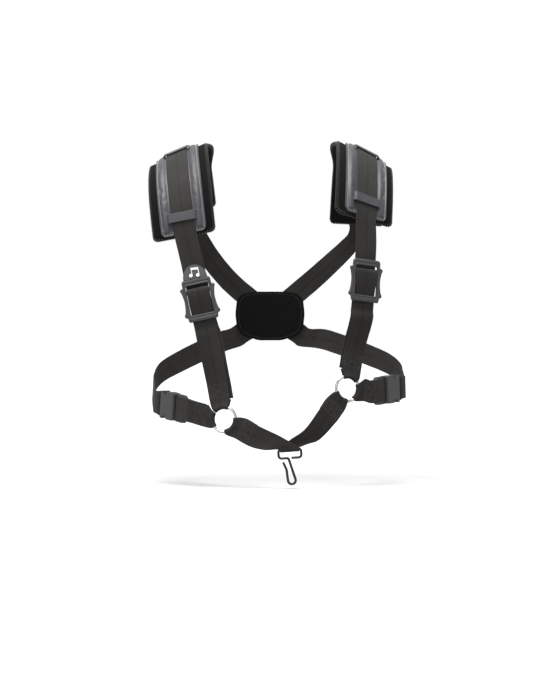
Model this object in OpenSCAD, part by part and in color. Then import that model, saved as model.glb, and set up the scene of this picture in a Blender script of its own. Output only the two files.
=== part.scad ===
// Two-shoulder saxophone harness, as it hangs on the wearer.
// +Z is up, the wearer faces -Y, and the wearer's right hand is on the -X side.
// The origin lies midway between the shoulder pads, at the height of the shoulders they rest on.

/* [Webbing] */
// Width of every strap
web_w = 25; // [24:0.5:25]
// Thickness of one layer of webbing
web_t = 1.3; // [1:0.1:1.4]

/* [Shoulder pads] */
// Radius of the webbing's arc over a shoulder
arc_r = 108; // [106:1:110]
// Height of the webbing above the wearer's shoulders at its highest point
apex_z = 11; // [10:0.5:12]
// Width of the felt base
base_w = 70; // [66:1:74]
// Thickness of the felt base
base_t = 5; // [4:0.5:6]
// Width of the stitched cover
cover_w = 51; // [48:1:54]
// Thickness of the stitched cover
cover_t = 2.4; // [2:0.1:2.6]
// Angle of arc that a pad covers
pad_arc = 150; // [140:1:150]

/* [Adjusters] */
// Height of an adjuster's frame along the strap
adj_h = 47; // [46:0.5:48]
// Thickness of an adjuster's frame
adj_t = 3.2; // [2.8:0.1:3.6]

/* [Rings and hook] */
// Radius of a ring, to the middle of its wire
ring_r = 14; // [14:0.1:14.5]
// Radius of a ring's wire
ring_wire = 1.6; // [1.4:0.1:1.6]
// Radius of the hook's wire
hook_wire = 1.4; // [1.3:0.05:1.45]

/* [Buckles] */
// Length of a closed side-release buckle
buckle_l = 58; // [57:0.5:60]
// Width of a buckle
buckle_w = 31; // [30.6:0.1:32]

/* [Hidden] */

felt_color = [0.10, 0.10, 0.10];
cover_color = [0.36, 0.37, 0.39];
web_color = [0.17, 0.16, 0.15];
plastic_color = [0.22, 0.22, 0.22];
nickel_color = [0.78, 0.77, 0.75];
silver_color = [0.80, 0.80, 0.79];
black_color = [0.03, 0.03, 0.03];

// ---------- vectors and frames: a frame is [x axis, y axis, z axis, origin] ----------

function unit(v) = v / norm(v);
function square_to(v, axis) = unit(v - (v * axis) * axis);
function in_frame(f, p) = f[3] + p[0] * f[0] + p[1] * f[1] + p[2] * f[2];

module placed(f) {
    multmatrix([
        [f[0][0], f[1][0], f[2][0], f[3][0]],
        [f[0][1], f[1][1], f[2][1], f[3][1]],
        [f[0][2], f[1][2], f[2][2], f[3][2]],
        [0, 0, 0, 1]
    ])
        children();
}

// ---------- ribbons: a grid of points down the middle of a layer, thickened both ways ----------

COLUMNS = [-1, -0.5, 0, 0.5, 1];

// A station is [centre, direction across]: one row of the grid, web_w wide where the direction is a unit.
function row(station) = [for (c = COLUMNS) station[0] + c * web_w / 2 * station[1]];

function blend_cubic(a, b, c, d, t) =
    b + 0.5 * t * (c - a + t * (2 * a - 5 * b + 4 * c - d + t * (3 * (b - c) + d - a)));

// Smooth stations through the given ones, with the given number of steps between two of them.
function smooth(s, steps) = concat(
    [for (i = [0 : len(s) - 2])
        let (a = s[max(i - 1, 0)], b = s[i], c = s[i + 1], d = s[min(i + 2, len(s) - 1)])
        for (k = [0 : steps - 1])
            [blend_cubic(a[0], b[0], c[0], d[0], k / steps),
             blend_cubic(a[1], b[1], c[1], d[1], k / steps)]],
    [s[len(s) - 1]]
);

function rows_of(stations) = [for (s = stations) row(s)];

function grid_normal(g, r, c) =
    let (
        across = g[r][min(c + 1, len(g[r]) - 1)] - g[r][max(c - 1, 0)],
        along = g[min(r + 1, len(g) - 1)][c] - g[max(r - 1, 0)][c]
    )
    unit(cross(across, along));

module layer(g, thick) {
    rows = len(g);
    cols = len(g[0]);
    half = rows * cols;
    points = [
        for (side = [1, -1], r = [0 : rows - 1], c = [0 : cols - 1])
            g[r][c] + side * thick / 2 * grid_normal(g, r, c)
    ];
    faces = concat(
        [for (r = [0 : rows - 2], c = [0 : cols - 2])
            let (a = r * cols + c, b = a + cols) each [[a, b, b + 1], [a, b + 1, a + 1]]],
        [for (r = [0 : rows - 2], c = [0 : cols - 2])
            let (a = half + r * cols + c, b = a + cols) each [[a, b + 1, b], [a, a + 1, b + 1]]],
        [for (r = [0 : rows - 2])
            let (a = r * cols, b = a + cols)
                each [[a, half + a, half + b], [a, half + b, b]]],
        [for (r = [0 : rows - 2])
            let (a = r * cols + cols - 1, b = a + cols)
                each [[a, half + b, half + a], [a, b, half + b]]],
        [for (c = [0 : cols - 2])
            each [[c, half + c + 1, half + c], [c, c + 1, half + c + 1]]],
        [for (c = [0 : cols - 2])
            let (a = (rows - 1) * cols + c)
                each [[a, half + a, half + a + 1], [a, half + a + 1, a + 1]]]
    );
    polyhedron(points, faces, convexity = 8);
}

// ---------- shoulders: the webbing lies on an arc in a leaning plane, and rolls outwards ----------

// A shoulder is [side, arc centre x, lean, roll at the top, roll at the ends, pad's front end, slant].
RIGHT = [-1, 94, 7, 16, 0, 88, -1.3];
LEFT = [1, 105, 3, 24, 24, 77, 1.8];

function arc_centre(k) = [k[0] * k[1], 0, apex_z - arc_r * cos(k[2])];
function arc_axis(k) = [cos(k[2]), 0, -k[0] * sin(k[2])];
function arc_radial(k, a) = [k[0] * sin(k[2]) * cos(a), -sin(a), cos(k[2]) * cos(a)];
function roll(k, a) = k[4] + (k[3] - k[4]) * pow(cos(a), 2);
function arc_across(k, a) =
    arc_axis(k) * cos(roll(k, a)) - k[0] * arc_radial(k, a) * sin(roll(k, a));
function arc_out(k, a) =
    arc_radial(k, a) * cos(roll(k, a)) + k[0] * arc_axis(k) * sin(roll(k, a));

// The point at angle a, a distance v towards +X and h above the middle of the webbing.
function on_shoulder(k, a, v, h) =
    arc_centre(k) + arc_r * arc_radial(k, a) + v * arc_across(k, a) + h * arc_out(k, a);
function arc_station(k, a) = [on_shoulder(k, a, 0, 0), arc_across(k, a)];

// The same for the pad, whose rows are cut at a slant so that its outer edge reaches lower.
function on_pad(k, a, v, h) = on_shoulder(k, a + k[6] * v / (base_w / 2), v, h);

web_gap = 0.6;
cover_top = -web_t / 2 - web_gap;
cover_mid = cover_top - cover_t / 2;
base_mid = cover_top - cover_t - 0.15 - base_t / 2;
PAD_COLUMNS = [-1, -0.95, -0.75, -0.5, -0.25, 0, 0.25, 0.5, 0.75, 0.95, 1];

// Half the width at a distance from the nearer end, with rounded corners.
function half_width(w, corner, from_end) =
    from_end >= corner ? w / 2 : w / 2 - corner + sqrt(corner * corner - pow(corner - from_end, 2));

module pad_layer(k, w, thick, h, corner, inset) {
    first = k[5] - pad_arc + inset / arc_r * 180 / PI;
    last = k[5] - inset / arc_r * 180 / PI;
    reach = (last - first) * PI / 180 * arc_r;
    ends = [0.02, 0.15, 0.45, 1];
    starts = [for (e = ends) e * corner];
    finishes = [for (i = [len(ends) - 1 : -1 : 0]) reach - ends[i] * corner];
    middle_rows = 22;
    gap = (reach - 2 * corner) / middle_rows;
    middles = [for (i = [1 : middle_rows - 1]) corner + i * gap];
    grid = [
        for (s = concat(starts, middles, finishes))
            let (a = first + s / arc_r * 180 / PI, half = half_width(w, corner, min(s, reach - s)))
                [for (c = PAD_COLUMNS) on_pad(k, a, c * half, h)]
    ];
    layer(grid, thick);
}

module pad_base(k) {
    color(felt_color)
        pad_layer(k, base_w, base_t, base_mid, 9, 0);
}

module pad_cover(k) {
    color(cover_color)
        pad_layer(k, cover_w, cover_t, cover_mid, 6, 3);
}

keeper_t = 1.1;
keeper_over = web_t / 2 + 0.8 + keeper_t / 2;
keeper_foot = cover_top + 0.1 + keeper_t / 2;
KEEPER_PROFILE = [[18.4, 0], [16.6, 0], [15.6, 0.35], [14.9, 0.8], [14, 1], [6, 1]];
KEEPER_COLUMNS = concat(
    [for (p = KEEPER_PROFILE) [-p[0], p[1]]],
    [for (i = [len(KEEPER_PROFILE) - 1 : -1 : 0]) KEEPER_PROFILE[i]]
);

// A loop of cover material that bridges the webbing between two angles.
module keeper(k, from, to) {
    color(cover_color)
        layer(
            [for (i = [0 : 5])
                [for (p = KEEPER_COLUMNS)
                    on_pad(k, from + (to - from) * i / 5, p[0],
                        keeper_foot + (keeper_over - keeper_foot) * p[1])]],
            keeper_t
        );
}

module front_keeper(k) keeper(k, k[5] - 14.5, k[5] - 9);
module top_keeper(k) keeper(k, -5, 16);
module back_keeper(k) keeper(k, k[5] - pad_arc + 9, k[5] - pad_arc + 14.5);

// ---------- adjusters: each slides along a straight stretch of webbing ----------

RIGHT_RUN = [[-86.5, -110.5, -118], [-67.5, -120, -207]];
LEFT_RUN = [[106, -110.5, -100], [100.5, -122, -184]];

function run_frame(run, across) =
    let (y = unit(run[0] - run[1]), x = square_to(across, y)) [x, y, cross(x, y), (run[0] + run[1]) / 2];

right_adj = run_frame(RIGHT_RUN, [1, -0.02, 0.2]);
left_adj = run_frame(LEFT_RUN, [0.93, 0.36, -0.1]);

adj_low = 3.4;
window_w = 25.8;
window_h = 33;
bar_y = 9;
bar_w = 4.6;
bar_low = 3.9;
bar_t = 2.2;
// Right half of the outline, from the top to the bottom.
ADJ_SIDE = [
    [13.6, 0.5], [15.3, 0.47], [16, 0.42], [16, 0.34], [17.2, 0.31], [19.2, 0.275], [19.6, 0.25],
    [18.4, 0.2], [17.4, 0.1], [17, 0], [17.3, -0.1], [18, -0.2], [19.6, -0.31], [19.9, -0.345],
    [19, -0.365], [17.2, -0.385], [16.6, -0.42], [16.4, -0.47], [15.4, -0.5]
];

module adjuster(f) {
    outline = concat(
        [for (p = ADJ_SIDE) [p[0], p[1] * adj_h]],
        [for (i = [len(ADJ_SIDE) - 1 : -1 : 0]) [-ADJ_SIDE[i][0], ADJ_SIDE[i][1] * adj_h]]
    );
    color(plastic_color)
        placed(f) {
            translate([0, 0, adj_low])
                difference() {
                    linear_extrude(adj_t)
                        polygon(outline);
                    translate([-window_w / 2, -window_h / 2, -1])
                        cube([window_w, window_h, adj_t + 2]);
                }
            translate([-window_w / 2 - 0.5, bar_y - bar_w / 2, bar_low])
                cube([window_w + 1, bar_w, bar_t]);
        }
}

badge_r = 13.4;
badge_h = 15.3;
badge_y = adj_h / 2 + 0.1;

module adjuster_badge() {
    color(plastic_color)
        placed(right_adj)
            translate([0, badge_y, adj_low + 0.3])
                linear_extrude(adj_t - 0.6)
                    polygon([for (a = [0 : 5 : 180]) [badge_r * cos(a), badge_h * sin(a)]]);
}

// A raised pair of beamed notes.
module badge_emblem() {
    color(silver_color)
        placed(right_adj)
            translate([0, badge_y + 2.6, adj_low + adj_t - 0.25])
                linear_extrude(0.7) {
                    translate([-4, 1.2])
                        circle(r = 1.9, $fn = 32);
                    translate([3.6, 0.4])
                        circle(r = 1.9, $fn = 32);
                    polygon([[-2.9, 1], [-2.15, 1], [-2.15, 7.2], [4.7, 6.4], [4.7, 0.2], [5.45, 0.2],
                        [5.45, 8.7], [-2.9, 9.7]]);
                }
}

// ---------- rings: three straps share each ring ----------

function ring_frame(at, yaw) = [[cos(yaw), sin(yaw), 0], [0, 0, 1], [sin(yaw), -cos(yaw), 0], at];

right_ring_at = ring_frame([-50.6, -121.5, -293.6], -20);
left_ring_at = ring_frame([85, -120, -260], 26);
loop_r = ring_wire + 0.3 + web_t / 2;
pair = web_t / 2 + 0.2;
LOOP_TURN = [50, 90, 135, 180, 225, 270, 310];

module ring(f) {
    color(nickel_color)
        placed(f)
            rotate_extrude($fn = 96)
                translate([ring_r, 0])
                    circle(r = ring_wire, $fn = 24);
}

function on_ring(f, angle) = f[0] * cos(angle) + f[1] * sin(angle);

// One row across a strap that leaves the ring at an angle, a distance out and h in front of the ring's plane.
function leaving(f, angle, out, h, flip) =
    [f[3] + out * on_ring(f, angle) + h * f[2], flip * on_ring(f, angle - 90)];

// The turn of webbing round the wire, from the front to the back, over an arc of the ring.
function ring_turn(f, middle, half, flip) = [
    for (turn = LOOP_TURN)
        [for (c = COLUMNS)
            let (e = on_ring(f, middle - flip * c * half))
                f[3] + ring_r * e + loop_r * (e * cos(turn) + f[2] * sin(turn))]
];

function reversed(list) = [for (i = [len(list) - 1 : -1 : 0]) list[i]];

// ---------- the patch where four straps meet behind the wearer ----------

PATCH = [0, 116.5, -176];
patch_t = 1.8;
PATCH_OUTLINE = [
    [-16, 29], [16, 29], [33, 27], [40, 20], [42, 2], [40, -16], [33, -24], [14, -30],
    [-14, -30], [-33, -24], [-40, -16], [-42, 2], [-40, 20], [-33, 27]
];

// Stations of a strap that enters the patch, given its direction out from the patch.
function from_patch(dir, across) = [for (out = [18, 40, 50]) [PATCH + out * dir, across]];

module patch(y) {
    translate([PATCH[0], y + patch_t / 2, PATCH[2]])
        rotate([90, 0, 0])
            linear_extrude(patch_t)
                polygon(PATCH_OUTLINE);
}

module back_patch_outer() {
    color(cover_color)
        patch(PATCH[1] + web_t / 2 + 0.3 + patch_t / 2);
}

module back_patch_inner() {
    color(felt_color)
        patch(PATCH[1] - web_t / 2 - 0.3 - patch_t / 2);
}

// ---------- shoulder webbing: patch, over the shoulder, behind the adjuster, to the ring ----------

RIGHT_BACK = [
    [[-55, 114.5, -128], [0.70, 0, 0.71]],
    [[-78, 110, -98], [0.87, 0.05, 0.48]]
];
LEFT_BACK = [
    [[57, 114.5, -128], [0.71, -0.05, -0.69]],
    [[86, 110.5, -101], [0.87, -0.25, -0.42]]
];

function shifted(station, shift) = [station[0] + shift * station[1], station[1]];

// The stretch from below an adjuster to just above its ring, a distance out from the webbing
// and then h in front of the ring's plane, with a shift to one side.
function hanging(adj, ring_at, up, out, h, last, shift) = smooth(
    [
        [in_frame(adj, [0.7 * shift, -34, out]), adj[0]],
        [in_frame(adj, [shift, -44, out]), adj[0]],
        shifted(leaving(ring_at, up, 44, h, 1), shift),
        shifted(leaving(ring_at, up, last, h, 1), shift)
    ],
    4
);

module shoulder_webbing(k, back, arc_from, arc_to, adj, run, ring_at, up, shift) {
    side = k[0];
    arc_steps = 26;
    stations = concat(
        from_patch([side * 0.77, 0, 0.64], [0.64, 0, -side * 0.77]),
        back,
        [for (i = [0 : arc_steps]) arc_station(k, arc_from + (arc_to - arc_from) * i / arc_steps)],
        [for (p = [run[0], (run[0] + run[1]) / 2, in_frame(adj, [0.5 * shift, -28, 0])]) [p, adj[0]]]
    );
    color(web_color)
        layer(rows_of(concat(smooth(stations, 2), hanging(adj, ring_at, up, 0, -pair, 21, shift))), web_t);
}

// ---------- front strap: round the adjuster's bar, behind its lower bar and round the ring ----------

// Places along the adjuster as [up, out], from the sewn end behind the bar.
BAR_TURN = [
    [1, 2.1], [5, 2.6], [9, 2.9], [11.7, 3.3], [12.6, 5], [11.7, 6.7], [9, 7.1], [5, 6.9],
    [-3, 5.4], [-10, 3.5], [-16, 2.35], [-24, 2.1]
];

module front_strap(adj, ring_at, up, middle, half) {
    color(web_color)
        layer(
            concat(
                rows_of([for (p = BAR_TURN) [in_frame(adj, [0, p[0], p[1]]), adj[0]]]),
                rows_of(hanging(adj, ring_at, up, 1.9, pair, 24, 0)),
                ring_turn(ring_at, middle, half, 1),
                [row(leaving(ring_at, up, 20, -pair, 1))]
            ),
            web_t
        );
}

// ---------- side-release buckles: local x runs from the ring to the back, z faces out ----------

function buckle_frame(at, dir, out) =
    let (x = unit(dir), z = square_to(out, x)) [x, cross(z, x), z, at];

right_buckle = buckle_frame([-93, -100.5, -284], [-0.556, 0.816, 0.12], [-0.82, -0.56, 0]);
left_buckle = buckle_frame([116, -102, -263.5], [0.54, 0.835, 0.06], [0.84, -0.54, 0]);

male_l = 21;
seam = 0.3;
plate_t = 4;
slot_w = 25.8;
prong_root = 22.6;
prong_y = 9.9;
prong_r = 1.4;
prong_tip = 43.5;
prong_reach = 13.2;
notch_x = 39;

// A plate with rounded corners, from x1 to x2.
module plate(x1, x2, w, thick, corner) {
    turns = [[1, 1, 0], [-1, 1, 90], [-1, -1, 180], [1, -1, 270]];
    outline = [
        for (t = turns, a = [0 : 15 : 90])
            [(t[0] > 0 ? x2 : x1) - t[0] * corner, t[1] * (w / 2 - corner)]
                + corner * [cos(t[2] + a), sin(t[2] + a)]
    ];
    translate([0, 0, -thick / 2])
        linear_extrude(thick)
            polygon(outline);
}

module slot(x1, x2) {
    translate([x1, -slot_w / 2, -10])
        cube([x2 - x1, slot_w, 20]);
}

module buckle_male(f) {
    tongue = [male_l - 1, 40];
    color(plastic_color)
        placed(f) {
            difference() {
                plate(0, male_l, buckle_w, plate_t, 4.5);
                slot(3.5, 10.5);
                slot(15.1, 19);
            }
            translate([male_l - 1.8, -buckle_w / 2 + 1, -4.4])
                cube([1.8, buckle_w - 2, 8.8]);
            translate([tongue[0], -2.5, -1.5])
                cube([tongue[1] - tongue[0], 5, 3]);
        }
}

// One springy prong; side is 1 or -1 across the buckle.
module prong(f, side) {
    outline = [
        [prong_root, prong_y - 1.2], [prong_tip - 2.5, prong_y - 0.6], [prong_tip, prong_y + 0.6],
        [prong_tip, prong_y + 1.6], [prong_tip - 1.4, prong_reach], [notch_x - 3, prong_reach],
        [notch_x - 4.6, prong_y + 1.8], [prong_root, prong_y + 1.2]
    ];
    color(plastic_color)
        placed(f)
            translate([0, 0, -2.5]) {
                linear_extrude(5)
                    polygon([for (p = outline) [p[0], side * p[1]]]);
                translate([prong_root, side * prong_y, 0])
                    cylinder(h = 5, r = prong_r, $fn = 32);
            }
}

module buckle_female(f) {
    mouth = male_l + seam;
    color(plastic_color)
        placed(f)
            difference() {
                union() {
                    plate(mouth, 47.5, buckle_w, 9.6, 2);
                    plate(44, buckle_l, buckle_w - 3, plate_t - 0.4, 3);
                }
                translate([mouth - 1, -13.5, -3.2])
                    cube([46 - mouth, 27, 6.4]);
                slot(49.5, 54);
                for (side = [1, -1])
                    translate([notch_x, side * (buckle_w / 2 + 0.4), -6])
                        cylinder(h = 12, r = 4.3, $fn = 40);
            }
}

// ---------- side straps: a flat sewn band from the ring to the male buckle's inner bar ----------

MALE_TURN = [
    [-9, 1.2], [-3, 2.5], [1.5, 3], [6, 3], [12, 3], [15.6, 2.95], [16.8, 2], [17.2, 0],
    [16.8, -2], [15.6, -2.95], [12, -3], [6, -3], [1.5, -3], [-3, -2.5], [-9, -1.2]
];

module side_strap(f, ring_at, out, middle, half) {
    turn = [for (p = MALE_TURN) [in_frame(f, [p[0], 0, p[1]]), -f[1]]];
    front = [leaving(ring_at, out, 22, pair, 1), turn[0]];
    back = [turn[len(turn) - 1], leaving(ring_at, out, 23.5, -pair, 1)];
    color(web_color)
        layer(
            concat(
                [row(leaving(ring_at, out, 21, -pair, 1))],
                reversed(ring_turn(ring_at, middle, half, 1)),
                rows_of(smooth([front[0], front[1], turn[1]], 3)),
                rows_of([for (i = [2 : len(turn) - 2]) turn[i]]),
                rows_of(back)
            ),
            web_t
        );
}

// ---------- back straps: from the patch, round the side, to the female buckle's bar ----------

FEMALE_TURN = [
    [64, 1.8], [60, 2.6], [57, 2.95], [54.3, 2.95], [52.8, 2.3], [52.2, 1.1], [52.1, 0],
    [52.2, -1.1], [52.8, -2.3], [54.3, -2.95], [57, -2.95], [60, -2.5], [64, -1.2], [70, -0.6]
];
RIGHT_SIDE = [
    [[-62, 112.5, -209], [-0.36, 0.06, 0.93]],
    [[-99, 91, -227], [-0.3, 0.15, 0.94]],
    [[-126.5, 52, -243], [-0.15, 0.3, 0.94]],
    [[-134.5, 10, -257], [0, 0.33, 0.94]],
    [[-133, -22, -268], [0.08, 0.2, 0.97]]
];
LEFT_SIDE = [
    [[66, 112.5, -205], [0.3, 0.06, 0.94]],
    [[106, 92, -219], [0.25, 0.15, 0.95]],
    [[138, 54, -233], [0.13, 0.26, 0.95]],
    [[151, 14, -244], [0, 0.28, 0.96]],
    [[152.5, -22, -253], [-0.06, 0.17, 0.98]]
];

module back_strap(f, side, route) {
    turn = [for (p = FEMALE_TURN) [in_frame(f, [p[0], 0, p[1]]), side * f[1]]];
    stations = concat(
        from_patch([side * 0.85, 0, -0.53], [side * 0.53, 0, 0.85]),
        route,
        [turn[0]]
    );
    color(web_color)
        layer(
            concat(
                rows_of(smooth(stations, 5)),
                rows_of([for (i = [1 : len(turn) - 1]) turn[i]])
            ),
            web_t
        );
}

// ---------- hook strap and hook ----------

bar_at = [21.3, -136, -325.8];
bar_tilt = 4;
hook_frame = [[cos(bar_tilt), 0, sin(bar_tilt)], [0, 1, 0], [-sin(bar_tilt), 0, cos(bar_tilt)], bar_at];
gather = 0.84;
fold_r = hook_wire + 0.5 + web_t / 2;
FOLD_TURN = [-25, 10, 50, 90, 130, 170, 205];
LEFT_ARM = [[[3.5, -138.6, -319.5], [0.72, 0, 0.58]]];
RIGHT_ARM = [
    [[32, -132.8, -318], [0.82, 0.1, -0.18]],
    [[45.9, -132, -310], [0.64, 0.42, -0.48]]
];

module hook_strap() {
    fold = [
        for (turn = FOLD_TURN)
            [in_frame(hook_frame, [0, -fold_r * cos(turn), -fold_r * sin(turn)]),
             gather * hook_frame[0]]
    ];
    first = [
        leaving(right_ring_at, -27, 22, pair, -1),
        leaving(right_ring_at, -27, 40, pair, -1)
    ];
    last = [
        leaving(left_ring_at, 230, 40, pair, -1),
        leaving(left_ring_at, 230, 22, pair, -1)
    ];
    color(web_color)
        layer(
            concat(
                [row(leaving(right_ring_at, -27, 38, -pair, -1)),
                 row(leaving(right_ring_at, -27, 22, -pair, -1))],
                reversed(ring_turn(right_ring_at, -38, 46, -1)),
                rows_of(smooth(concat(first, LEFT_ARM, [fold[0]]), 5)),
                rows_of([for (i = [1 : len(fold) - 2]) fold[i]]),
                rows_of(smooth(concat([fold[len(fold) - 1]], RIGHT_ARM, last), 5)),
                ring_turn(left_ring_at, 230, 37, -1),
                [row(leaving(left_ring_at, 230, 22, -pair, -1)),
                 row(leaving(left_ring_at, 230, 38, -pair, -1))]
            ),
            web_t
        );
}

// The wire's corners as [x, z, bend radius], from the end that butts against the shank to the tip.
HOOK_PATH = [
    [1.7, -9.6, 0], [12.4, -9.6, 3], [12.4, 0, 3], [-12.4, 0, 3], [-12.4, -9.6, 3],
    [-1.9, -9.6, 2.4], [5.5, -38, 4.1], [-3.75, -38.3, 4.1], [-4.8, -22, 8], [-7.6, -14.8, 0]
];

WIRE_SIDES = 12;

function corner(i) = [HOOK_PATH[i][0], HOOK_PATH[i][1]];
function way(i) = unit(corner(i + 1) - corner(i));
function turn_angle(i) = acos(way(i - 1) * way(i));
function turn_side(i) =
    way(i - 1)[0] * way(i)[1] - way(i - 1)[1] * way(i)[0] > 0 ? 1 : -1;

// Stations round one bend, each [x, z, direction's x, direction's z].
function bend(i) =
    let (
        r = HOOK_PATH[i][2],
        side = turn_side(i),
        inward = side * [-way(i - 1)[1], way(i - 1)[0]],
        centre = corner(i) - r * tan(turn_angle(i) / 2) * way(i - 1) + r * inward,
        steps = ceil(turn_angle(i) / 15)
    )
    [for (k = [0 : steps])
        let (a = side * turn_angle(i) * k / steps, d = way(i - 1), n = -inward)
            [centre[0] + r * (n[0] * cos(a) - n[1] * sin(a)),
             centre[1] + r * (n[0] * sin(a) + n[1] * cos(a)),
             d[0] * cos(a) - d[1] * sin(a), d[0] * sin(a) + d[1] * cos(a)]];

module hook() {
    last = len(HOOK_PATH) - 1;
    first_way = way(0);
    last_way = way(last - 1);
    stations = concat(
        [[corner(0)[0], corner(0)[1], first_way[0], first_way[1], 1]],
        [for (i = [1 : last - 1], s = bend(i)) concat(s, [1])],
        [for (a = [0, 35, 65])
            let (p = corner(last) + hook_wire * sin(a) * last_way)
                [p[0], p[1], last_way[0], last_way[1], cos(a)]]
    );
    points = [
        for (s = stations, k = [0 : WIRE_SIDES - 1])
            let (a = 360 * k / WIRE_SIDES, r = hook_wire * s[4])
                [s[0] - s[3] * r * cos(a), r * sin(a), s[1] + s[2] * r * cos(a)]
    ];
    rings = len(stations);
    faces = concat(
        [[for (k = [0 : WIRE_SIDES - 1]) k]],
        [[for (k = [WIRE_SIDES - 1 : -1 : 0]) (rings - 1) * WIRE_SIDES + k]],
        [for (r = [0 : rings - 2], k = [0 : WIRE_SIDES - 1])
            let (
                a = r * WIRE_SIDES + k,
                b = r * WIRE_SIDES + (k + 1) % WIRE_SIDES,
                c = a + WIRE_SIDES,
                d = b + WIRE_SIDES
            )
                each [[a, c, b], [b, c, d]]]
    );
    color(black_color)
        placed(hook_frame)
            polyhedron(points, faces, convexity = 10);
}

// ---------- the nodes ----------

pad_base(RIGHT);  // right_pad_base
pad_cover(RIGHT);  // right_pad_cover
front_keeper(RIGHT);  // right_pad_front_keeper
top_keeper(RIGHT);  // right_pad_top_keeper
back_keeper(RIGHT);  // right_pad_back_keeper
pad_base(LEFT);  // left_pad_base
pad_cover(LEFT);  // left_pad_cover
front_keeper(LEFT);  // left_pad_front_keeper
top_keeper(LEFT);  // left_pad_top_keeper
back_keeper(LEFT);  // left_pad_back_keeper
shoulder_webbing(RIGHT, RIGHT_BACK, -70, 80, right_adj, RIGHT_RUN, right_ring_at, 101, 2.8);  // right_shoulder_webbing
shoulder_webbing(LEFT, LEFT_BACK, -80, 80, left_adj, LEFT_RUN, left_ring_at, 79, -1.6);  // left_shoulder_webbing
front_strap(right_adj, right_ring_at, 101, 105, 37);  // right_front_strap
front_strap(left_adj, left_ring_at, 79, 72, 38);  // left_front_strap
adjuster(right_adj);  // right_adjuster
adjuster(left_adj);  // left_adjuster
adjuster_badge();
badge_emblem();
ring(right_ring_at);  // right_ring
ring(left_ring_at);  // left_ring
side_strap(right_buckle, right_ring_at, 170, 183, 35);  // right_side_strap
side_strap(left_buckle, left_ring_at, -5, -18, 39);  // left_side_strap
buckle_male(right_buckle);  // right_buckle_male
buckle_male(left_buckle);  // left_buckle_male
prong(right_buckle, -1);  // right_upper_prong
prong(right_buckle, 1);  // right_lower_prong
prong(left_buckle, 1);  // left_upper_prong
prong(left_buckle, -1);  // left_lower_prong
buckle_female(right_buckle);  // right_buckle_female
buckle_female(left_buckle);  // left_buckle_female
back_strap(right_buckle, -1, RIGHT_SIDE);  // right_back_strap
back_strap(left_buckle, 1, LEFT_SIDE);  // left_back_strap
hook_strap();
hook();
back_patch_outer();
back_patch_inner();
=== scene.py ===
"""Looks of a two-shoulder saxophone harness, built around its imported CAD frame.

Lengths below are in millimetres, in the part's frame, until a mesh is made.
"""

import math

import bpy
import numpy as np
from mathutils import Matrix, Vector


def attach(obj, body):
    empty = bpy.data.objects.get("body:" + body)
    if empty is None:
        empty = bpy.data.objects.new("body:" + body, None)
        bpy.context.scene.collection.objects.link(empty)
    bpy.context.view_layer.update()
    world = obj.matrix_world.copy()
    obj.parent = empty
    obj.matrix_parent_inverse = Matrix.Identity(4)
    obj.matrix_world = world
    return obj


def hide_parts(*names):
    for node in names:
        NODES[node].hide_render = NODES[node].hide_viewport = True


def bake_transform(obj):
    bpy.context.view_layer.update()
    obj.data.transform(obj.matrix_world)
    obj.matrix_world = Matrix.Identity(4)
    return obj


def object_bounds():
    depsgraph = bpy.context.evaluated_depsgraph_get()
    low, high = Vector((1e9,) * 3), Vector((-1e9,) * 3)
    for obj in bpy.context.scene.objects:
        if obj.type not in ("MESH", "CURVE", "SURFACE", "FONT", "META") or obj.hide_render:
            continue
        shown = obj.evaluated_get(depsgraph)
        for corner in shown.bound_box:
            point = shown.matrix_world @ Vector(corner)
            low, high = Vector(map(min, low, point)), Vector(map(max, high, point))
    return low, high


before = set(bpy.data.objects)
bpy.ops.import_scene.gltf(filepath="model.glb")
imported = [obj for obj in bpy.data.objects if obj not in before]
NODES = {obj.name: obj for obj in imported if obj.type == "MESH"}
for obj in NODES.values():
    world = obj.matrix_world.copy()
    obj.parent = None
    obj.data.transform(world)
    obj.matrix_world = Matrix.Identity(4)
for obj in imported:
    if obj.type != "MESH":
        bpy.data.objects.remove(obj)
cad_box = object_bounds()
MM = 0.001

# ---------- sizes, as in the part ----------

WEB_W, WEB_T = 25, 1.3
ARC_R, APEX_Z = 108, 11
BASE_W, BASE_T, COVER_W, COVER_T, PAD_ARC = 70, 5, 51, 2.4, 150
ADJ_H, ADJ_T, ADJ_LOW = 47, 3.2, 3.4
RING_R, RING_WIRE, HOOK_WIRE = 14, 1.6, 1.4
COVER_TOP = -WEB_T / 2 - 0.6
BASE_TOP = COVER_TOP - COVER_T - 0.15


def vec(*p):
    return np.array(p, float)


def unit(v):
    return v / np.linalg.norm(v)


def square_to(v, axis):
    return unit(v - np.dot(v, axis) * axis)


def cosd(a):
    return math.cos(math.radians(a))


def sind(a):
    return math.sin(math.radians(a))


def in_frame(f, p):
    return f[3] + p[0] * f[0] + p[1] * f[1] + p[2] * f[2]


# ---------- ribbons: rows of five points, refined to a fine mesh ----------

COLUMNS = (-1, -0.5, 0, 0.5, 1)


def rows_of(stations):
    return [[s[0] + c * WEB_W / 2 * s[1] for c in COLUMNS] for s in stations]


def smooth(s, steps):
    """Smooth stations through the given ones, as the part does."""
    out = []
    for i in range(len(s) - 1):
        a, b, c, d = s[max(i - 1, 0)], s[i], s[i + 1], s[min(i + 2, len(s) - 1)]
        for k in range(steps):
            t = k / steps
            out.append([
                b[j] + 0.5 * t * (c[j] - a[j] + t * (2 * a[j] - 5 * b[j] + 4 * c[j] - d[j]
                + t * (3 * (b[j] - c[j]) + d[j] - a[j]))) for j in (0, 1)
            ])
    return out + [s[-1]]


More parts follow.
